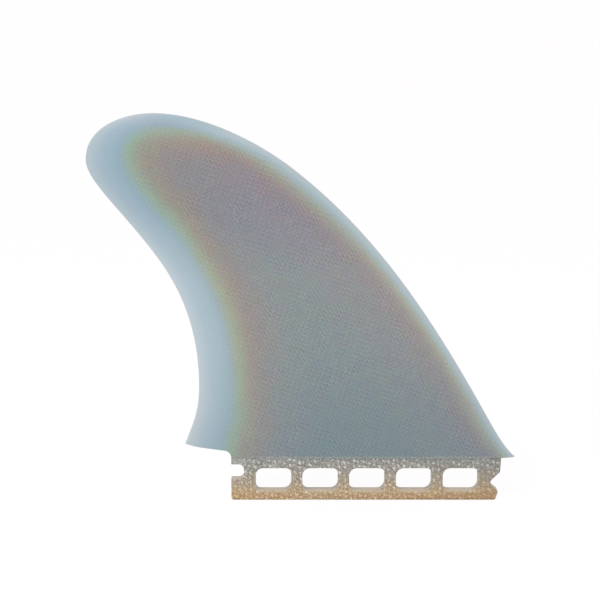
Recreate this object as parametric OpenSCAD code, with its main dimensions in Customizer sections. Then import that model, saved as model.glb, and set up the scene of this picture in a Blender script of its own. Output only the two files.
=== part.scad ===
// Surfboard fin: a raked, foiled blade and its single mounting tab, one woven glass laminate.
// X runs forward to the leading edge, Y across the fin, Z up from the foot of the tab.
// The origin is the middle of the tab's foot.

/* [Tab] */
// Length of the tab along the board
tab_length = 114.4; // [110:0.1:118]
// Depth of the tab below the root of the blade
tab_depth = 17.8; // [17:0.1:19]
// Thickness of the tab
tab_thick = 7; // [6:0.1:8]

/* [Windows] */
// Number of windows through the tab
window_count = 5; // [3:1:5]
// Width of a window
window_w = 15.1; // [12:0.1:16]
// Height of a window
window_h = 9.6; // [8:0.1:10.5]
// Radius of a window's upper rear and lower front corners
window_r = 3.3; // [1:0.1:3.6]
// Radius of its other two corners
window_tight_r = 2.2; // [1:0.1:3.6]
// Distance from one window to the next
window_pitch = 19.85; // [18.5:0.05:20.5]
// Distance of the middle window ahead of the middle of the tab
window_ahead = 0.35; // [-0.5:0.05:0.5]
// Height of the rail under the windows
rail_h = 4; // [3:0.1:4.2]

/* [Tab ends] */
// Depth of the pin slot in the rear end
slot_depth = 5.4; // [4:0.1:6]
// Height of the pin slot
slot_h = 6.4; // [5:0.1:7]
// Height of the slot's floor above the foot
slot_z = 8.85; // [7:0.05:9]
// Radius of the slot's inner corners
slot_r = 2.3; // [1:0.1:2.5]
// Depth of the screw notch behind the front end
notch_depth = 4.45; // [3.5:0.05:5]
// Height of the notch's middle above the foot
notch_z = 7.35; // [7:0.05:8]
// Radius in the bottom of the notch
notch_r = 1.9; // [1:0.1:2.2]

/* [Blade outline] */
// Height of the tip above the foot
tip_z = 163.5; // [158:0.5:170]
// Distance of the tip behind the middle of the tab
tip_back = 89.5; // [84:0.5:94]
// Farthest reach of the blade behind the middle of the tab
sweep_back = 117.6; // [112:0.1:122]
// Distance of the trailing edge's waist behind the middle of the tab
waist_back = 70.8; // [66:0.1:72]
// Distance of the leading point ahead of the middle of the tab
point_ahead = 63.3; // [61:0.1:67]
// Height of the heel's underside where it meets the tab
heel_z = 20.9; // [19.5:0.1:22]
// Radius between the heel and the tab
heel_r = 3.2; // [2:0.1:3.5]

/* [Foil] */
// Full thickness of the blade at the root
root_thick = 7.8; // [7:0.1:9]
// Full thickness that the blade would reach at the tip
tip_thick = 5.7; // [4:0.1:7]
// Thickness left at the edges
edge_thick = 0.8; // [0.6:0.1:1.2]
// Width at the root of the long taper to the trailing edge
trail_w = 56; // [45:1:60]
// Share by which that taper is longer at the very root
root_extra = 0.2; // [0:0.05:0.3]
// Height over which the extra length fades out
root_blend = 28; // [20:1:40]
// Width of the round nose of the leading edge
lead_w = 24; // [22:1:34]
// Depth of the round nose under the tip
crown_w = 24; // [20:1:40]

/* [Hidden] */
$fn = 48;

glass_grey = [0.58, 0.62, 0.63];
resin_tan = [0.67, 0.62, 0.54];

// Sections up the blade, and steps along each section
rings = 46;
steps = 24;
// Power by which the trailing taper and the nose meet, higher being sharper
meeting = 4;
// Halvings used to find a height on a curve
halvings = 24;

rear = -tab_length / 2;
front = tab_length / 2;
root_z = tab_depth;
blade_h = tip_z - root_z;
tip = [-tip_back, tip_z];

// The trailing edge, from the root up to the tip, as curves of four points [x, z]
waist = [-waist_back, 48.5];
bend = [-87.6, 102.5];
rearmost = [-sweep_back, 144];
trailing = [
    [[-78.5, root_z], [-75.5, 29.7], waist - [0, 14.5], waist],
    [waist, waist + [0, 22.2], bend + [10.6, -14.7], bend],
    [bend, bend + [-14.2, 19.8], rearmost - [0, 8.8], rearmost],
    [rearmost, rearmost + [0, 14.8], tip - [10.5, 0], tip]
];

// The leading edge, which flares out to a blunt point at the root
point = [point_ahead, root_z + 0.4];
flare = [51.4, 35];
shoulder = [-29, 138.8];
leading = [
    [[point_ahead - 2.4, root_z], [point_ahead - 0.7, root_z + 0.05], point - [0, 0.25], point],
    [point, point + [-4, 2.8], flare + [3.8, -6.7], flare],
    [flare, flare + [-24.4, 43.8], shoulder + [33, -26.3], shoulder],
    [shoulder, shoulder + [-15, 12.1], tip + [21.5, 0], tip]
];

function bezier(p, u) =
    pow(1 - u, 3) * p[0] + 3 * pow(1 - u, 2) * u * p[1] + 3 * (1 - u) * u * u * p[2] + pow(u, 3) * p[3];

// The x at height z on one curve, found by halving
function curve_x(p, z, lo = 0, hi = 1, n = halvings) =
    let (mid = (lo + hi) / 2, at = bezier(p, mid))
    n == 0 ? at[0]
    : at[1] < z ? curve_x(p, z, mid, hi, n - 1)
    : curve_x(p, z, lo, mid, n - 1);

// The x at height z on a chain of curves
function edge_x(chain, z, i = 0) =
    i == len(chain) - 1 || z <= chain[i][3][1] ? curve_x(chain[i], z) : edge_x(chain, z, i + 1);

// How far a taper of width w has risen at distance d from its edge, from 0 to 1
function taper(d, w) = 1 - pow(1 - min(1, d / w), 2);

// Half the blade's thickness, from the distances to the trailing edge, the leading edge and the tip's height.
// The trailing side is a parabola, as steep all the way up, and the leading side and the tip are ellipses.
function half_thick(dt, dl, dz) =
    let (
        full = root_thick + (tip_thick - root_thick) * (1 - dz / blade_h),
        share = full / root_thick,
        extra = root_extra * max(0, 1 - (blade_h - dz) / root_blend),
        tail = 1 - taper(dt, trail_w * share * (1 + extra)),
        nose = 1 - sqrt(taper(dl, lead_w) * taper(dz, crown_w)),
        foil = max(0, 1 - pow(pow(tail, meeting) + pow(nose, meeting), 1 / meeting)),
        r = edge_thick / 2,
        rim = sqrt(taper(dt, r) * taper(dl, r) * taper(dz, r))
    )
    r * rim + (full / 2 - r) * foil;

// One closed horizontal section: forward to back on one side, then back to front on the other
function section(z) =
    let (xt = edge_x(trailing, z), xl = edge_x(leading, z), chord = xl - xt)
    [for (j = [0 : 2 * steps - 1])
        let (
            s = (1 - cos(180 * j / steps)) / 2,
            half = half_thick(chord * (1 - s), chord * s, tip_z - z),
            side = j < steps ? -1 : 1
        )
        [xl - chord * s, side * half, z]];

// The blade's sections, one of them at the height of the leading point, joined to the tip
module blade_shell() {
    around = 2 * steps;
    even = [for (k = [0 : rings - 1]) root_z + blade_h * (1 - cos(180 * k / rings)) / 2];
    heights = [for (k = [0 : rings - 1]) each k == 2 ? [point[1], even[2]] : [even[k]]];
    last = len(heights) - 1;
    points = concat([for (z = heights) each section(z)], [[tip[0], 0, tip[1]]]);
    floor_face = [for (j = [around - 1 : -1 : 0]) j];
    walls = [for (k = [0 : last - 1], j = [0 : around - 1])
        let (a = k * around + j, b = k * around + (j + 1) % around)
        each [[a, b + around, a + around], [a, b, b + around]]];
    top = last * around;
    cap = [for (j = [0 : around - 1]) [top + j, top + (j + 1) % around, top + around]];
    polyhedron(points, concat([floor_face], walls, cap), convexity = 4);
}

function arc(c, r, from, to, n = 6) =
    [for (i = [0 : n]) let (a = from + (to - from) * i / n) c + r * [cos(a), sin(a)]];

// The space under the heel, which the blade is cut back to behind the tab.
// The heel's underside is given from its rear end forward, as x and the rise above heel_z.
module under_heel() {
    underside = [[-82, 4.9], [-76.4, 2.5], [-72.4, 1.5], [-69.8, 1.1]];
    below = root_z - 1;
    rotate([90, 0, 0])
        linear_extrude(2 * root_thick, center = true)
            polygon(concat(
                [[rear, below], [underside[0][0], below]],
                [for (p = underside) [p[0], heel_z + p[1]]],
                arc([rear - heel_r, heel_z - heel_r], heel_r, 90, 0, 12)));
}

module blade() {
    color(glass_grey)
        difference() {
            blade_shell();
            under_heel();
        }
}

// A rectangle with round corners, centred
module rounded(w, h, r) {
    square([w - 2 * r, h], center = true);
    square([w, h - 2 * r], center = true);
    for (x = [-1, 1], y = [-1, 1])
        translate([x * (w / 2 - r), y * (h / 2 - r)])
            circle(r);
}

// A window, centred, whose upper rear and lower front corners are the wider ones
module window() {
    x = window_w / 2;
    z = window_h / 2;
    corners = [[1, 1, window_tight_r], [-1, 1, window_r], [-1, -1, window_tight_r], [1, -1, window_r]];
    polygon([for (c = corners)
        let (on_side = [c[0] * x, c[1] * (z - c[2])], on_end = [c[0] * (x - c[2]), c[1] * z])
        each c[0] == c[1] ? [on_side, on_end] : [on_end, on_side]]);
    for (c = corners)
        translate([c[0] * (x - c[2]), c[1] * (z - c[2])])
            circle(c[2]);
}

// Side view of the tab without its openings, from the rear foot forward
module tab_outline() {
    foot_r = 1.2;
    sole_r = 1;
    toe_r = 0.7;
    lip_r = 0.8;
    sole = [front - 3.2, sole_r];
    toe = [front - 2.05, 3.5];
    lip = [front - 1.2, 12.3];
    polygon(concat(
        [[rear, root_z]],
        arc([rear + foot_r, foot_r], foot_r, 180, 270),
        arc(sole, sole_r, 270, 340),
        arc(toe, toe_r, -20, 49.5),
        arc([front - notch_depth + notch_r, notch_z], notch_r, 229.5, 130),
        arc(lip, lip_r, -50, 0),
        [[front, root_z]]));
}

module tab() {
    color(resin_tan)
        rotate([90, 0, 0])
            linear_extrude(tab_thick, center = true)
                difference() {
                    tab_outline();
                    for (i = [0 : window_count - 1])
                        translate([
                            window_ahead + (i - (window_count - 1) / 2) * window_pitch,
                            rail_h + window_h / 2])
                            window();
                    translate([rear, slot_z + slot_h / 2])
                        rounded(2 * slot_depth, slot_h, slot_r);
                }
}

// Blade and tab are one laminate
module fin() {
    union() {
        blade();
        tab();
    }
}

fin();
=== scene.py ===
"""A surfboard fin of woven glass laminate: one finely modelled piece with its materials, floor,
light and camera."""

import math

import bpy
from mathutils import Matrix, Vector

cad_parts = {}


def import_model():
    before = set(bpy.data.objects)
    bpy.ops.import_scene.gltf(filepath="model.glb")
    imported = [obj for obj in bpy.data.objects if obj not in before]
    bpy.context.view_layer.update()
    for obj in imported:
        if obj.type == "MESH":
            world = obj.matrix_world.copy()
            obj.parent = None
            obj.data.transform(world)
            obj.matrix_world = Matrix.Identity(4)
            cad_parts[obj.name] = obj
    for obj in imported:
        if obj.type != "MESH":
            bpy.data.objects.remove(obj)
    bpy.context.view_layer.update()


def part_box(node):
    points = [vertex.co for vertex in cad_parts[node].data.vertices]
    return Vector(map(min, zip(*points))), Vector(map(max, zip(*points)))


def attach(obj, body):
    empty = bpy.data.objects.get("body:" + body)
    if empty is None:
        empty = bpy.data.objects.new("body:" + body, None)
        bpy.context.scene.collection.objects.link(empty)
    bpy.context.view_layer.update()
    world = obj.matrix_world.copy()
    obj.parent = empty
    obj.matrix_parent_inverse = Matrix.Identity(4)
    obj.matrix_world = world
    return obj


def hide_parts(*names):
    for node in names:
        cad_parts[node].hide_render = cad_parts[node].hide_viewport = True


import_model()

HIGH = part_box("fin")[1]
MM = 0.001

# Sizes of the fin in millimetres, the same as the part's own
TAB_LENGTH = 114.4
TAB_DEPTH = 17.8
TAB_THICK = 7.0
WINDOW_COUNT = 5
WINDOW_W = 15.1
WINDOW_H = 9.6
WINDOW_R = 3.3
WINDOW_TIGHT_R = 2.2
WINDOW_PITCH = 19.85
WINDOW_AHEAD = 0.35
RAIL_H = 4.0
SLOT_DEPTH = 5.4
SLOT_H = 6.4
SLOT_Z = 8.85
SLOT_R = 2.3
NOTCH_DEPTH = 4.45
NOTCH_Z = 7.35
NOTCH_R = 1.9
TIP_BACK = 89.5
SWEEP_BACK = 117.6
WAIST_BACK = 70.8
POINT_AHEAD = 63.3
HEEL_Z = 20.9
HEEL_R = 3.2
ROOT_THICK = 7.8
TIP_THICK = 5.7
EDGE_THICK = 0.8
TRAIL_W = 56.0
ROOT_BLEND = 28.0
LEAD_W = 24.0
CROWN_W = 24.0
# Share by which the trailing taper is longer at the very root
ROOT_EXTRA = 0.2
# Power by which the trailing taper and the nose meet, higher being sharper
MEETING = 4.0

REAR = -TAB_LENGTH / 2
FRONT = TAB_LENGTH / 2
ROOT_Z = TAB_DEPTH
TIP_Z = HIGH[2] / MM
BLADE_H = TIP_Z - ROOT_Z

# How finely the fin is modelled
RINGS = 170
STEPS = 80
ARC_STEPS = 12
HALVINGS = 30
# The small round on the tab's edges, and the gap that is welded shut, in millimetres
TAB_EDGE_R = 0.22
WELD_GAP = 0.00001
# Angle between two faces from which their edge stays sharp
SHARP_DEGREES = 32

# How far below the root a point has to be to count as the tab's, and how far past its ends it may lie
BELOW_ROOT = 0.01
PAST_ENDS = 0.1
# A tab face whose normal points this much across the fin belongs to the printed side
SIDEWAYS = 0.3
BLADE, TAB_SIDE, TAB_CUT = range(3)

# Zones of colour behind the leading edge, in millimetres from it: each pair from nothing to full
LEADING_ZONE = (18, 8)
MAUVE_STARTS = (10, 15)
MAUVE_ENDS = (44, 26)
# Heights between which the leading edge's zone ends under the crown
UNDER_CROWN = (162, 154)


def rise(value, start, full):
    """How far a value has come from start to full, from 0 to 1. Either may be the larger one."""
    return min(1, max(0, (value - start) / (full - start)))


def new_object(name, data):
    made = bpy.data.objects.new(name, data)
    bpy.context.scene.collection.objects.link(made)
    return made


def new_mesh(name, points, faces):
    """A mesh from points in millimetres."""
    mesh = bpy.data.meshes.new(name)
    mesh.from_pydata([tuple(v * MM for v in p) for p in points], [], faces)
    mesh.update()
    return mesh


def evaluated_mesh(piece):
    """The mesh of a curve, or of a piece with its modifiers."""
    return bpy.data.meshes.new_from_object(piece.evaluated_get(bpy.context.evaluated_depsgraph_get()))


# Outline of the blade

def chain(*points):
    """A chain of cubic curves from points given three by three after the first."""
    return [[Vector(p) for p in points[i:i + 4]] for i in range(0, len(points) - 1, 3)]


TIP = (-TIP_BACK, TIP_Z)
TRAILING = chain(
    (-78.5, ROOT_Z), (-75.5, 29.7), (-WAIST_BACK, 34.0),
    (-WAIST_BACK, 48.5), (-WAIST_BACK, 70.7), (-77.0, 87.8),
    (-87.6, 102.5), (-101.8, 122.3), (-SWEEP_BACK, 135.2),
    (-SWEEP_BACK, 144.0), (-SWEEP_BACK, 158.8), (-TIP_BACK - 10.5, TIP_Z), TIP)
LEADING = chain(
    (POINT_AHEAD - 2.4, ROOT_Z), (POINT_AHEAD - 0.7, ROOT_Z + 0.05), (POINT_AHEAD, ROOT_Z + 0.15),
    (POINT_AHEAD, ROOT_Z + 0.4), (POINT_AHEAD - 4, ROOT_Z + 3.2), (55.2, 28.3),
    (51.4, 35.0), (27.0, 78.8), (4.0, 112.5),
    (-29.0, 138.8), (-44.0, 150.9), (-TIP_BACK + 21.5, TIP_Z), TIP)


def bezier(p, u):
    v = 1 - u
    return v**3 * p[0] + 3 * v * v * u * p[1] + 3 * v * u * u * p[2] + u**3 * p[3]


def edge_x(curves, z):
    """The x at height z on a chain of curves, found by halving."""
    curve = next((p for p in curves if z <= p[3].y), curves[-1])
    low, high = 0.0, 1.0
    for _ in range(HALVINGS):
        middle = (low + high) / 2
        if bezier(curve, middle).y < z:
            low = middle
        else:
            high = middle
    return bezier(curve, (low + high) / 2).x


# Foil of the blade

def taper(d, w):
    """How far a taper of width w has risen at distance d from its edge, from 0 to 1."""
    return 1 - (1 - rise(d, 0, w))**2


def half_thick(dt, dl, dz):
    """Half the thickness, from the distances to the trailing edge, the leading edge and the height
    of the tip."""
    full = ROOT_THICK + (TIP_THICK - ROOT_THICK) * (1 - dz / BLADE_H)
    share = full / ROOT_THICK
    extra = ROOT_EXTRA * max(0, 1 - (BLADE_H - dz) / ROOT_BLEND)
    tail = 1 - taper(dt, TRAIL_W * share * (1 + extra))
    nose = 1 - math.sqrt(taper(dl, LEAD_W) * taper(dz, CROWN_W))
    foil = max(0, 1 - (tail**MEETING + nose**MEETING)**(1 / MEETING))
    r = EDGE_THICK / 2
    rim = math.sqrt(taper(dt, r) * taper(dl, r) * taper(dz, r))
    return r * rim + (full / 2 - r) * foil


def section(z):
    """One closed horizontal section, forward to back on one side and then back to front on the other."""
    back, ahead = edge_x(TRAILING, z), edge_x(LEADING, z)
    chord = ahead - back
    points = []
    for j in range(2 * STEPS):
        s = (1 - math.cos(math.pi * j / STEPS)) / 2
        half = half_thick(chord * (1 - s), chord * s, TIP_Z - z)
        side = -1 if j < STEPS else 1
        points.append((ahead - chord * s, side * half, z))
    return points


def blade_solid():
    """Sections from the root up, close together at both ends, joined to the tip."""
    around = 2 * STEPS
    points = []
    for k in range(RINGS):
        points += section(ROOT_Z + BLADE_H * (1 - math.cos(math.pi * k / RINGS)) / 2)
    points.append((TIP[0], 0, TIP[1]))
    faces = [list(range(around - 1, -1, -1))]
    for k in range(RINGS - 1):
        for j in range(around):
            a = k * around + j
            b = k * around + (j + 1) % around
            faces.append((a, b, b + around, a + around))
    top = (RINGS - 1) * around
    faces += [(top + j, top + (j + 1) % around, RINGS * around) for j in range(around)]
    return new_object("blade_solid", new_mesh("blade_solid", points, faces))


# Flat outlines, as lists of (x, z)

def arc(x, z, r, start, end):
    """Points on a circle from one angle to another, in degrees."""
    angles = [math.radians(start + (end - start) * i / ARC_STEPS) for i in range(ARC_STEPS + 1)]
    return [(x + r * math.cos(a), z + r * math.sin(a)) for a in angles]


def window_outline(x, z):
    """A window about its centre, whose upper rear and lower front corners are the wider ones."""
    corners = [(1, 1, WINDOW_TIGHT_R), (-1, 1, WINDOW_R), (-1, -1, WINDOW_TIGHT_R), (1, -1, WINDOW_R)]
    points = []
    for i, (sx, sz, r) in enumerate(corners):
        corner_x, corner_z = x + sx * (WINDOW_W / 2 - r), z + sz * (WINDOW_H / 2 - r)
        points += arc(corner_x, corner_z, r, 90 * i, 90 * i + 90)
    return points


def window_outlines():
    middle = (WINDOW_COUNT - 1) / 2
    return [window_outline(WINDOW_AHEAD + (i - middle) * WINDOW_PITCH, RAIL_H + WINDOW_H / 2)
            for i in range(WINDOW_COUNT)]


def slot_outline():
    """The pin slot as a bay in the rear end, from its upper lip round to its lower one."""
    end = REAR + SLOT_DEPTH - SLOT_R
    upper, lower = SLOT_Z + SLOT_H, SLOT_Z
    return ([(REAR, upper)]
            + arc(end, upper - SLOT_R, SLOT_R, 90, 0)
            + arc(end, lower + SLOT_R, SLOT_R, 0, -90)
            + [(REAR, lower)])


def tab_outline():
    """The tab with its slot, from the upper rear corner down, forward along the foot and up the front."""
    foot_r, sole_r, toe_r, lip_r = 1.2, 1.0, 0.7, 0.8
    sole = (FRONT - 3.2, sole_r)
    toe = (FRONT - 2.05, 3.5)
    notch = (FRONT - NOTCH_DEPTH + NOTCH_R, NOTCH_Z)
    lip = (FRONT - 1.2, 12.3)
    return ([(REAR, ROOT_Z)] + slot_outline()
            + arc(REAR + foot_r, foot_r, foot_r, 180, 270)
            + arc(*sole, sole_r, 270, 340)
            + arc(*toe, toe_r, -20, 49.5)
            + arc(*notch, NOTCH_R, 229.5, 130)
            + arc(*lip, lip_r, -50, 0)
            + [(FRONT, ROOT_Z)])


def slab(name, outlines, thick, edge_r=0.0):
    """A slab in the plane of the blade with these outlines, the later ones being holes."""
    shape = bpy.data.curves.new(name, "CURVE")
    shape.dimensions = "2D"
    shape.fill_mode = "BOTH"
    shape.extrude = (thick / 2 - edge_r) * MM
    shape.bevel_depth = edge_r * MM
    shape.bevel_resolution = 2
    shape.offset = -edge_r * MM
    for outline in outlines:
        spline = shape.splines.new("POLY")
        spline.points.add(len(outline) - 1)
        for point, (x, z) in zip(spline.points, outline):
            point.co = (x * MM, z * MM, 0, 1)
        spline.use_cyclic_u = True
    flat = new_object(name, shape)
    flat.rotation_euler.x = math.pi / 2
    bpy.context.view_layer.update()
    mesh = evaluated_mesh(flat)
    mesh.transform(flat.matrix_world)
    bpy.data.objects.remove(flat)
    return new_object(name, mesh)


def under_heel():
    """The space under the heel, behind the tab. The heel's underside is given from the rear forward."""
    underside = [(x, HEEL_Z + up) for x, up in ((-82, 4.9), (-76.4, 2.5), (-72.4, 1.5), (-69.8, 1.1))]
    below = ROOT_Z - 1
    outline = [(REAR, below), (underside[0][0], below)] + underside
    outline += arc(REAR - HEEL_R, HEEL_Z - HEEL_R, HEEL_R, 90, 0)
    return slab("under_heel", [outline], 2 * ROOT_THICK)


def combine(piece, other, how):
    """Adds another solid to a piece or takes it away, and removes the other."""
    weld = other.modifiers.new("weld", "WELD")
    weld.merge_threshold = WELD_GAP * MM
    step = piece.modifiers.new("combine", "BOOLEAN")
    step.object = other
    step.operation = how
    step.solver = "EXACT"
    mesh = evaluated_mesh(piece)
    piece.modifiers.clear()
    piece.data = mesh
    bpy.data.objects.remove(other)


# Materials

def linear(r, g, b):
    """A colour given as 0 to 255, as the renderer's own linear values."""
    def one(v):
        v /= 255
        return v / 12.92 if v <= 0.04045 else ((v + 0.055) / 1.055)**2.4
    return (one(r), one(g), one(b), 1)


class Tree:
    """Builds a material's nodes in few words."""

    def __init__(self, name):
        self.material = bpy.data.materials.new(name)
        self.material.use_nodes = True
        self.nodes = self.material.node_tree.nodes
        self.links = self.material.node_tree.links
        self.shader = self.nodes["Principled BSDF"]
        self.place = self.add("ShaderNodeTexCoord").outputs["Object"]

    def add(self, kind, **settings):
        node = self.nodes.new(kind)
        for name, value in settings.items():
            setattr(node, name, value)
        return node

    def feed(self, node, index, value):
        """Links an input to a socket, or sets it to a plain value."""
        if isinstance(value, bpy.types.NodeSocket):
            self.links.new(value, node.inputs[index])
        else:
            node.inputs[index].default_value = value

    def attribute(self, name):
        return self.add("ShaderNodeAttribute", attribute_name=name).outputs["Fac"]

    def math(self, how, *values, clamp=False):
        node = self.add("ShaderNodeMath", operation=how, use_clamp=clamp)
        for i, value in enumerate(values):
            self.feed(node, i, value)
        return node.outputs[0]

    def span(self, value, low, high, to_low=0.0, to_high=1.0):
        """A value from low to high turned into one from to_low to to_high, and no further."""
        node = self.add("ShaderNodeMapRange")
        for i, v in enumerate((value, low, high, to_low, to_high)):
            self.feed(node, i, v)
        return node.outputs[0]

    def vector(self, how, *values):
        """Arithmetic on colours or places, a plain number standing for three."""
        node = self.add("ShaderNodeVectorMath", operation=how)
        for i, value in enumerate(values):
            self.feed(node, i, (value,) * 3 if isinstance(value, float) else value)
        return node.outputs[0]

    def scaled(self, vector, factor):
        """A colour or place multiplied by a number."""
        node = self.add("ShaderNodeVectorMath", operation="SCALE")
        self.feed(node, 0, vector)
        self.feed(node, "Scale", factor)
        return node.outputs[0]

    def dot(self, place, direction):
        node = self.add("ShaderNodeVectorMath", operation="DOT_PRODUCT")
        self.feed(node, 0, place)
        self.feed(node, 1, direction)
        return node.outputs["Value"]

    def parts(self, colour):
        """The red, green and blue of a colour."""
        node = self.add("ShaderNodeSeparateColor")
        self.feed(node, 0, colour)
        return node.outputs

    def noise(self, place, size_mm, detail, colour=False):
        node = self.add("ShaderNodeTexNoise")
        self.feed(node, "Vector", place)
        self.feed(node, "Scale", 1 / (size_mm * MM))
        self.feed(node, "Detail", detail)
        return node.outputs["Color" if colour else "Fac"]

    def grain(self, size_mm, detail):
        """Noise about zero."""
        return self.math("SUBTRACT", self.noise(self.place, size_mm, detail), 0.5)

    def strayed(self, place, size_mm, by_mm):
        """A place moved about by up to half of by_mm, over patches of about size_mm."""
        moves = self.noise(place, size_mm, detail=0, colour=True)
        return self.vector("ADD", place, self.scaled(moves, by_mm * MM))

    def specks(self, place, across, up, jitter, radius):
        """Spots in a grid of cells, each of its own strength.
        across and up are cells per millimetre along X and Z."""
        cells = self.add("ShaderNodeCombineXYZ")
        for i, (x, z) in enumerate((across, up)):
            self.feed(cells, i, self.dot(place, (x / MM, 0, z / MM)))
        spots = self.add("ShaderNodeTexVoronoi", voronoi_dimensions="2D")
        self.feed(spots, "Vector", cells.outputs[0])
        self.feed(spots, "Scale", 1.0)
        self.feed(spots, "Randomness", jitter)
        near = self.span(spots.outputs["Distance"], radius, 0.0)
        own = self.span(self.parts(spots.outputs["Color"])[0], 0.0, 1.0, 0.4, 1.6)
        return self.math("MULTIPLY", near, own)

    def ramp(self, value, stops):
        """A colour for a value from 0 to 1. stops is a list of (place, linear colour)."""
        node = self.add("ShaderNodeValToRGB")
        marks = node.color_ramp.elements
        while len(marks) < len(stops):
            marks.new(1.0)
        for mark, stop in zip(marks, stops):
            mark.position, mark.color = stop
        self.feed(node, "Fac", value)
        return node.outputs["Color"]

    def colours(self, value, stops):
        """A ramp whose colours are given as 0 to 255."""
        return self.ramp(value, [(at, linear(*colour)) for at, colour in stops])

    def mix(self, share, colour, other, how="MIX"):
        node = self.add("ShaderNodeMix", data_type="RGBA", blend_type=how)
        for index, value in ((0, share), (6, colour), (7, other)):
            self.feed(node, index, value)
        return node.outputs[2]

    def bump(self, height, depth_mm):
        node = self.add("ShaderNodeBump")
        self.feed(node, "Strength", 1.0)
        self.feed(node, "Distance", depth_mm * MM)
        self.feed(node, "Height", height)
        self.links.new(node.outputs[0], self.shader.inputs["Normal"])

    def finish(self, colour, roughness, specular):
        self.feed(self.shader, "Base Color", colour)
        self.feed(self.shader, "Roughness", roughness)
        self.shader.inputs["Specular IOR Level"].default_value = specular
        return self.material


# Sizes of the noise in the glass and in the cut faces
GRAIN_MM = 0.42
CUT_GRAIN_MM = 0.5
# How strongly the grain shows as light and dark
GRAIN_LIGHT = 0.4

# Plain-weave cloth: length of its two repeats, and their directions above the X axis
WARP_MM = 2.15
WARP_DEGREES = -18
WEFT_MM = 1.86
WEFT_DEGREES = 72
# Patches in which the weave shows more or less, and between which strengths
PATCH_MM = 7
PATCH_RANGE = (0.3, 1.7)
WEAVE_LIGHT = 0.072

# Colour of the laminate by its thickness in millimetres: partly its own tint, deeper where thicker,
# and partly painted light, the thin parts pale as though the white backdrop shone through them
LAMINATE_AND_BACKLIGHT = [
    (0.8, (196, 206, 210)),  # thin edge
    (2.1, (171, 189, 199)),  # pale blue margin
    (3.6, (152, 176, 187)),  # blue
    (4.4, (152, 171, 157)),  # green band
    (5.1, (152, 154, 144)),  # olive
    (5.8, (145, 146, 144)),  # warm grey
    (6.6, (136, 144, 148)),  # grey
    (7.7, (125, 142, 147))]  # blue grey core
# How red, green and blue change from that, as factors at these thicknesses
CHANGE_AT = (1.2, 3.2, 4.4, 5.4, 6.6)
AT_MIDDLE = (
    (1.0, 1.03, 1.05), (1.12, 1.1, 1.07), (1.15, 1.0, 0.92), (1.06, 0.95, 0.99), (1.08, 1.07, 1.02))
AT_TIP = (
    (0.86, 0.91, 0.93), (0.92, 0.96, 0.99), (0.94, 0.98, 0.97), (1.0, 0.91, 0.88), (0.92, 0.88, 1.01))
AT_LEADING = (
    (1.19, 1.12, 1.09), (1.29, 1.17, 1.07), (1.14, 1.07, 1.2), (1.05, 1.14, 1.15), (1.03, 0.93, 0.95))
THICKEST = 8.0
# Heights in millimetres at which the middle and the tip begin, and at which they are reached
MIDDLE_HEIGHTS = (30, 65)
TIP_HEIGHTS = (95, 125)
# By how much the leading edge's change is weaker at the middle and stronger at the tip
LEADING_AT_MIDDLE = -0.3
LEADING_AT_TIP = 0.5
# Places where the glass looks thicker or thinner than the plain foil: x, z, radius and amount in mm
THICKER = [(-99, 150, 5, 0.22), (-79, 113.5, 7, -0.18)]
# The warmer zone behind the leading edge, as factors of red, green and blue
MAUVE = (1.08, 0.99, 1.0)
# Mottling: how far red, green and blue range about the laminate's own, and over which distance
MOTTLE = 0.13
MOTTLE_MM = 4.5
# Painted highlight: a pale glint along the blade's root, where its edge catches the light: its colour,
# its share, and between which heights above the root it fades, in millimetres
ROOT_GLINT = linear(222, 208, 184)
ROOT_GLINT_SHARE = 0.17
ROOT_GLINT_HEIGHTS = (1.1, 0.5)

# Colours of the tab by height, as shares of its depth from the foot up
TAB_GROUND = [
    (0.0, (152, 126, 96)), (0.08, (172, 142, 106)), (0.2, (171, 143, 107)), (0.3, (163, 141, 112)),
    (0.5, (151, 138, 120)), (0.75, (136, 133, 125)), (1.0, (128, 131, 127))]
TAB_SPECKS = [
    (0.0, (228, 206, 172)), (0.22, (240, 222, 192)), (0.5, (232, 224, 208)), (1.0, (226, 228, 223))]
CUT_FACE = [
    (0.0, (168, 146, 116)), (0.1, (206, 190, 164)), (0.3, (214, 204, 187)), (0.6, (200, 192, 178)),
    (1.0, (176, 178, 168))]
AMBER = linear(255, 240, 205)
WINDOW_RIM = linear(216, 202, 178)
# Thickness of a ply and how far it wanders
PLY_MM = 0.42
PLY_WANDER_MM = 0.5


def phase(tree, place, period_mm, degrees):
    """The phase of a repeat in the plane of the blade, with its length and its direction."""
    a = math.radians(degrees)
    k = 2 * math.pi / (period_mm * MM)
    return tree.dot(place, (k * math.cos(a), 0, k * math.sin(a)))


def cloth(tree, place):
    """The light and dark of plain-weave cloth: its threads, their crossings and the halves of each
    warp thread. Each of these is stronger in some patches and weaker in others."""
    warp = phase(tree, place, WARP_MM, WARP_DEGREES)
    weft = phase(tree, place, WEFT_MM, WEFT_DEGREES)
    patches = tree.parts(tree.noise(place, PATCH_MM, detail=0, colour=True))
    first, second, third = (tree.span(part, 0.35, 0.65, *PATCH_RANGE) for part in patches)
    waves = [
        (0.3, warp, second),
        (0.45, weft, third),
        (0.65, tree.math("ADD", warp, weft), first),
        (0.47, tree.math("SUBTRACT", warp, weft), second),
        (0.65, tree.math("MULTIPLY", warp, 2.0), third)]
    total = 0.0
    for share, angle, patch in waves:
        wave = tree.math("MULTIPLY", tree.math("SINE", angle), patch)
        total = tree.math("MULTIPLY_ADD", wave, share, total)
    return total


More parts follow.
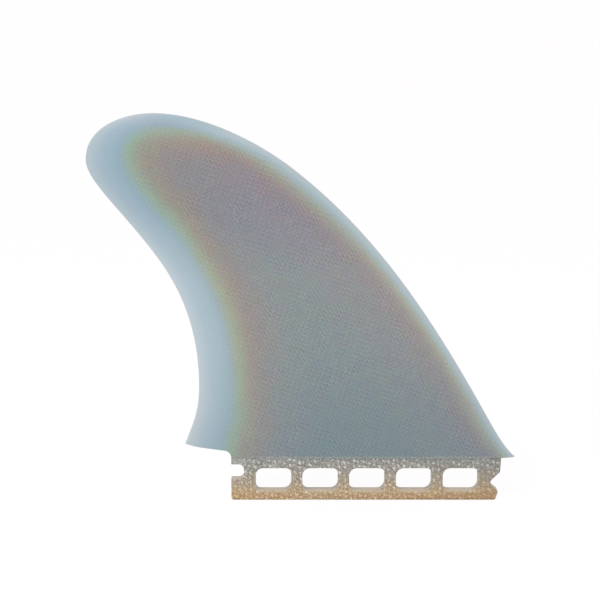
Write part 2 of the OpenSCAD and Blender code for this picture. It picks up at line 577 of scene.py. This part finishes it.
def laminate_and_backlight_colour(tree, depth, height, near_leading):
    """Colour by thickness, changed at the blade's middle, near its tip and along its leading edge. The
    pale thin parts are painted light shining through the glass.
    """
    to_middle, to_tip = (tree.span(height, low * MM, high * MM)
                         for low, high in (MIDDLE_HEIGHTS, TIP_HEIGHTS))
    at_middle = tree.math("SUBTRACT", to_middle, to_tip)
    strength = tree.math("MULTIPLY_ADD", at_middle, LEADING_AT_MIDDLE, 1.0)
    strength = tree.math("MULTIPLY_ADD", to_tip, LEADING_AT_TIP, strength)
    at_leading = tree.math("MULTIPLY", near_leading, strength)
    # Partly painted light: the thin parts are pale as though light shone through them
    colour = tree.colours(depth, [(mm / THICKEST, c) for mm, c in LAMINATE_AND_BACKLIGHT])
    for factors, share in ((AT_MIDDLE, at_middle), (AT_TIP, to_tip), (AT_LEADING, at_leading)):
        # A ramp ends at 1, so it holds half of each factor
        halves = tree.ramp(depth, [(mm / THICKEST, (r / 2, g / 2, b / 2, 1))
                                   for mm, (r, g, b) in zip(CHANGE_AT, factors)])
        change = tree.vector("MULTIPLY_ADD", halves, 2.0, -1.0)
        colour = tree.vector("MULTIPLY", colour, tree.vector("MULTIPLY_ADD", change, share, 1.0))
    return colour


def blade_material():
    """The ground blade: laminate coloured by its thickness, with painted light through its thin parts,
    weave, mottling and a painted glint along the root.
    """
    t = Tree("glass_blade")
    thick, near_leading, in_mauve = (t.attribute(name) for name in ("thickness", "leading", "mauve"))
    height = t.dot(t.place, (0, 0, 1))
    drift = t.math("MULTIPLY", t.grain(size_mm=6, detail=1), 0.01)
    depth = t.math("ADD", t.math("DIVIDE", thick, THICKEST), drift)
    colour = laminate_and_backlight_colour(t, depth, height, near_leading)
    colour = t.mix(in_mauve, colour, t.vector("MULTIPLY", colour, MAUVE))

    # Weave, grain and mottling, which hardly show where the laminate is thin
    seen = t.span(thick, 3.0, 5.8, 0.1, 1.0)
    weave = cloth(t, t.strayed(t.strayed(t.place, size_mm=10, by_mm=1.0), size_mm=1.6, by_mm=0.4))
    grain = t.grain(GRAIN_MM, detail=0)
    light = t.math("ADD", t.math("MULTIPLY", weave, WEAVE_LIGHT), t.math("MULTIPLY", grain, GRAIN_LIGHT))
    light = t.math("MULTIPLY_ADD", light, seen, 1.0)
    tint = t.noise(t.place, MOTTLE_MM, detail=0, colour=True)
    tint = t.vector("MULTIPLY_ADD", tint, MOTTLE, 1 - MOTTLE / 2)
    colour = t.mix(seen, colour, t.vector("MULTIPLY", colour, tint))

    # Painted highlight: the pale glint along the root, stronger and weaker in short dashes
    root_glint = t.span(height, *((ROOT_Z + above) * MM for above in ROOT_GLINT_HEIGHTS), 0.0, ROOT_GLINT_SHARE)
    dashes = t.span(t.noise(t.place, size_mm=0.8, detail=0), 0.4, 0.6, 0.4, 1.6)
    colour = t.mix(t.math("MULTIPLY", root_glint, dashes), colour, ROOT_GLINT)

    t.bump(t.math("ADD", weave, t.math("MULTIPLY", grain, 1.5)), depth_mm=0.01)
    roughness = t.span(grain, -0.3, 0.3, 0.36, 0.46)
    return t.finish(t.scaled(colour, light), roughness, specular=0.35)


def tab_places(t):
    """Distance ahead of the tab's middle, the same from the middle window's, and height on the tab from
    0 at its foot to 1 at its top."""
    along = t.dot(t.place, (1, 0, 0))
    height = t.math("DIVIDE", t.dot(t.place, (0, 0, 1)), TAB_DEPTH * MM)
    return along, t.math("SUBTRACT", along, WINDOW_AHEAD * MM), height


def tab_material():
    """The tab's sides: dark glass under pale specks where the cloth has printed through."""
    t = Tree("printed_tab")
    along, from_middle, height = tab_places(t)

    # Specks at the crossings of the cloth, finer ones between them and grain
    woven = t.strayed(t.strayed(t.place, size_mm=2.6, by_mm=0.9), size_mm=0.9, by_mm=0.35)
    crossings = t.specks(woven, (0.476, 0.0248), (-0.1086, -0.4056), jitter=0.35, radius=0.33)
    between = t.specks(t.place, (1.3, 0.1), (-0.2, 1.35), jitter=1.0, radius=0.62)
    share = t.math("MULTIPLY", between, 0.5)
    share = t.math("MULTIPLY_ADD", crossings, t.span(height, 0.4, 0.8, 0.55, 0.75), share)
    share = t.math("ADD", share, t.math("MULTIPLY", t.grain(GRAIN_MM, detail=0), 0.7))

    # They are stronger at the foot, weaker at the front and faintest over the pin slot
    over_slot = t.math("MULTIPLY", t.span(along, -51.5 * MM, -53.5 * MM), t.span(height, 0.83, 0.88))
    at_foot = t.span(height, 0.1, 0.4, 1.25, 1.0)
    at_front = t.span(along, 20 * MM, 34 * MM, 1.0, 0.7)
    strength = t.math("MULTIPLY", at_foot, at_front)
    strength = t.math("SUBTRACT", strength, t.math("MULTIPLY", over_slot, 0.7))
    least = t.math("MULTIPLY_ADD", over_slot, 0.2, 0.03)
    share = t.math("MULTIPLY_ADD", share, strength, least, clamp=True)
    colour = t.mix(share, t.colours(height, TAB_GROUND), t.colours(height, TAB_SPECKS))

    # Patches of amber along the foot
    patches = t.span(t.noise(t.place, size_mm=14, detail=0), 0.4, 0.62)
    amber = t.math("MULTIPLY", patches, t.span(height, 0.3, 0.15, 0.0, 0.25))
    colour = t.mix(amber, colour, t.mix(1.0, colour, AMBER, "MULTIPLY"))

    # A pale rim right under the windows, by the distance from the middle of the nearest one
    from_window = t.math("PINGPONG", from_middle, WINDOW_PITCH / 2 * MM)
    rim = t.span(from_window, 7.6 * MM, 6.4 * MM)
    rim = t.math("MULTIPLY", rim, t.span(height, 0.16, 0.21))
    rim = t.math("MULTIPLY", rim, t.span(height, 0.24, 0.23))
    rim = t.math("MULTIPLY", rim, t.span(t.math("ABSOLUTE", along), 49 * MM, 47 * MM, 0.0, 0.5))
    colour = t.mix(rim, colour, WINDOW_RIM)

    # The block ahead of the windows is a little darker
    colour = t.scaled(colour, t.span(along, 44 * MM, 50 * MM, 1.0, 0.95))
    t.bump(share, depth_mm=0.05)
    return t.finish(colour, 0.6, specular=0.3)


def cut_material():
    """The cut faces of windows, ends and foot: plies across the tab, and darker edges in places."""
    t = Tree("cut_laminate")
    along, from_middle, height = tab_places(t)
    across = t.dot(t.place, (0, 1, 0))

    wander = t.math("MULTIPLY", t.noise(t.place, size_mm=5, detail=2), PLY_WANDER_MM * MM)
    turn = t.math("MULTIPLY", t.math("ADD", across, wander), 2 * math.pi / (PLY_MM * MM))
    plies = t.math("MULTIPLY", t.math("SINE", turn), 0.05)
    grain = t.math("MULTIPLY", t.grain(CUT_GRAIN_MM, detail=2), GRAIN_LIGHT)
    uneven = t.math("ADD", plies, grain)

    # Darker in patches along both edges
    edge = t.span(t.math("ABSOLUTE", across), (TAB_THICK / 2 - 0.55) * MM, (TAB_THICK / 2 - 0.2) * MM)
    darker_edge_patches = t.span(t.noise(t.place, size_mm=7, detail=2), 0.48, 0.6, 0.0, 0.35)
    darker_edge_patches = t.math("MULTIPLY", edge, darker_edge_patches)

    # The far lower edge of every other window is darker, more so in the rear one
    every_other = t.math("COSINE", t.math("MULTIPLY", from_middle, math.pi / (WINDOW_PITCH * MM)))
    darker_far_edge = t.span(every_other, 0.3, -0.3)
    darker_far_edge = t.math("MULTIPLY", darker_far_edge, t.span(along, -5 * MM, 5 * MM, 0.55, 0.25))
    darker_far_edge = t.math("MULTIPLY", darker_far_edge, t.span(across, 0.4 * MM, 3.2 * MM))
    darker_far_edge = t.math("MULTIPLY", darker_far_edge, t.span(height, 0.34, 0.25))

    # The lower front corner of each window is darker
    forward = t.math("WRAP", from_middle, WINDOW_PITCH / 2 * MM, -WINDOW_PITCH / 2 * MM)
    corner = t.span(forward, 4.0 * MM, 6.5 * MM)
    corner = t.math("MULTIPLY", corner, t.span(height, 0.45, 0.33, 0.0, 0.25))

    lit = t.span(across, 2.5 * MM, -3.2 * MM, 0.96, 1.06)
    darker = t.math("ADD", darker_edge_patches, t.math("ADD", darker_far_edge, corner))
    light = t.math("SUBTRACT", t.math("ADD", uneven, lit), darker)
    t.bump(uneven, depth_mm=0.03)
    return t.finish(t.scaled(t.colours(height, CUT_FACE), light), 0.55, specular=0.3)


# The piece

def looks_thicker(x, z):
    """By how many millimetres the glass looks thicker here than the plain foil."""
    return sum(mm * math.exp(-((x - at_x)**2 + (z - at_z)**2) / (2 * r * r))
               for at_x, at_z, r, mm in THICKER)


def write_attributes(mesh):
    """Gives each point the laminate's thickness in millimetres, and its share in the leading edge's
    zone and in the mauve one."""
    values = {"thickness": [], "leading": [], "mauve": []}
    edges = {}
    for v in mesh.vertices:
        x, z = v.co.x / MM, v.co.z / MM
        thick, leading, mauve = TAB_THICK, 0.0, 0.0
        if z >= ROOT_Z - BELOW_ROOT:
            key = round(z, 4)
            if key not in edges:
                edges[key] = (edge_x(TRAILING, z), edge_x(LEADING, z))
            back, ahead = edges[key]
            thick = 2 * half_thick(x - back, ahead - x, TIP_Z - z) + looks_thicker(x, z)
            leading = rise(ahead - x, *LEADING_ZONE) * rise(z, *UNDER_CROWN)
            mauve = rise(ahead - x, *MAUVE_STARTS) * rise(ahead - x, *MAUVE_ENDS)
        for name, value in (("thickness", thick), ("leading", leading), ("mauve", mauve)):
            values[name].append(value)
    for name, numbers in values.items():
        mesh.attributes.new(name, "FLOAT", "POINT").data.foreach_set("value", numbers)


def on_tab(face):
    between_ends = (REAR - PAST_ENDS) * MM < face.center.x < (FRONT + PAST_ENDS) * MM
    return between_ends and face.center.z < (ROOT_Z - BELOW_ROOT) * MM


def build_fin():
    piece = blade_solid()
    combine(piece, under_heel(), "DIFFERENCE")
    combine(piece, slab("tab_solid", [tab_outline()] + window_outlines(), TAB_THICK, TAB_EDGE_R), "UNION")
    piece.name = "fin_laminate"
    mesh = piece.data
    mesh.name = "fin_laminate"
    mesh.materials.clear()
    for material in (blade_material(), tab_material(), cut_material()):
        mesh.materials.append(material)
    write_attributes(mesh)
    for face in mesh.polygons:
        face.material_index = BLADE
        if on_tab(face):
            face.material_index = TAB_SIDE if abs(face.normal.y) > SIDEWAYS else TAB_CUT
    mesh.shade_smooth()
    mesh.set_sharp_from_angle(angle=math.radians(SHARP_DEGREES))
    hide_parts("fin")
    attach(piece, "root")


# Floor, light and camera

WHITE = (1.0, 0.985, 0.992, 1)
# The floor in millimetres, its paper and its glow, and the glow's share in what is seen directly
FLOOR_REACH = 6000
PAPER = (0.9, 0.9, 0.9, 1)
PAPER_ROUGHNESS = 0.9
GLOW = 1.1
GLOW_SHARE = 0.8
# Strength of the sky as light on things, and as it is seen
SKY_LIGHT = 0.7
SKY_SEEN = 1.0
# The key light in metres and watts
KEY_PLACE = (-0.55, -0.85, 0.75)
KEY_AIM = (0, 0, 0.08)
KEY_SIZE = 0.7
KEY_POWER = 4.5
# The camera: metres, degrees above level, and the photo's scale at the fin
VIEW_DISTANCE = 0.870
VIEW_RISE = 7.0
VIEW_TARGET = (-0.02805, 0.0, 0.08504)
IMAGE_PIXELS = 600
PIXELS_PER_MM = 2.374
SENSOR = 36.0
CLIP_START = 0.01


def seen_directly(nodes, links):
    """1 for what the camera, gloss and glass see, and 0 for light that falls on things."""
    path = nodes.new("ShaderNodeLightPath")
    total = path.outputs["Is Camera Ray"]
    for name in ("Is Glossy Ray", "Is Transmission Ray"):
        add = nodes.new("ShaderNodeMath")
        add.operation = "MAXIMUM"
        links.new(total, add.inputs[0])
        links.new(path.outputs[name], add.inputs[1])
        total = add.outputs[0]
    return total


def floor():
    """White paper which glows where it is seen, so that it shows no edge against the sky."""
    corners = [(x * FLOOR_REACH, y * FLOOR_REACH, 0) for x, y in ((-1, -1), (1, -1), (1, 1), (-1, 1))]
    mesh = new_mesh("floor", corners, [(0, 1, 2, 3)])
    plane = new_object("floor", mesh)
    material = bpy.data.materials.new("floor_white")
    material.use_nodes = True
    nodes, links = material.node_tree.nodes, material.node_tree.links
    paper = nodes["Principled BSDF"]
    paper.inputs["Base Color"].default_value = PAPER
    paper.inputs["Roughness"].default_value = PAPER_ROUGHNESS
    paper.inputs["Specular IOR Level"].default_value = 0.0
    glow = nodes.new("ShaderNodeEmission")
    glow.inputs["Color"].default_value = WHITE
    glow.inputs["Strength"].default_value = GLOW
    share = nodes.new("ShaderNodeMath")
    share.operation = "MULTIPLY"
    share.inputs[1].default_value = GLOW_SHARE
    links.new(seen_directly(nodes, links), share.inputs[0])
    mix = nodes.new("ShaderNodeMixShader")
    for socket, value in zip(mix.inputs, (share, paper, glow)):
        links.new(value.outputs[0], socket)
    links.new(mix.outputs[0], nodes["Material Output"].inputs["Surface"])
    mesh.materials.append(material)


def world():
    sky = bpy.data.worlds.new("studio")
    sky.use_nodes = True
    nodes, links = sky.node_tree.nodes, sky.node_tree.links
    back = nodes["Background"]
    back.inputs["Color"].default_value = WHITE
    level = nodes.new("ShaderNodeMapRange")
    links.new(seen_directly(nodes, links), level.inputs["Value"])
    level.inputs["To Min"].default_value = SKY_LIGHT
    level.inputs["To Max"].default_value = SKY_SEEN
    links.new(level.outputs[0], back.inputs["Strength"])
    bpy.context.scene.world = sky


def key_light():
    light = bpy.data.lights.new("key", "AREA")
    light.shape = "DISK"
    light.size = KEY_SIZE
    light.energy = KEY_POWER
    made = new_object("key", light)
    made.location = KEY_PLACE
    made.rotation_euler = (Vector(KEY_AIM) - Vector(KEY_PLACE)).to_track_quat("-Z", "Y").to_euler()


def camera():
    data = bpy.data.cameras.new("camera")
    data.sensor_width = SENSOR
    data.lens = SENSOR * PIXELS_PER_MM * (VIEW_DISTANCE / MM) / IMAGE_PIXELS
    data.clip_start = CLIP_START
    made = new_object("camera", data)
    rise_angle = math.radians(VIEW_RISE)
    away = Vector((0, -math.cos(rise_angle), math.sin(rise_angle)))
    made.location = Vector(VIEW_TARGET) + VIEW_DISTANCE * away
    made.rotation_euler = (-away).to_track_quat("-Z", "Y").to_euler()
    bpy.context.scene.camera = made


camera()
build_fin()
floor()
world()
key_light()
bpy.context.scene.view_settings.view_transform = "Standard"
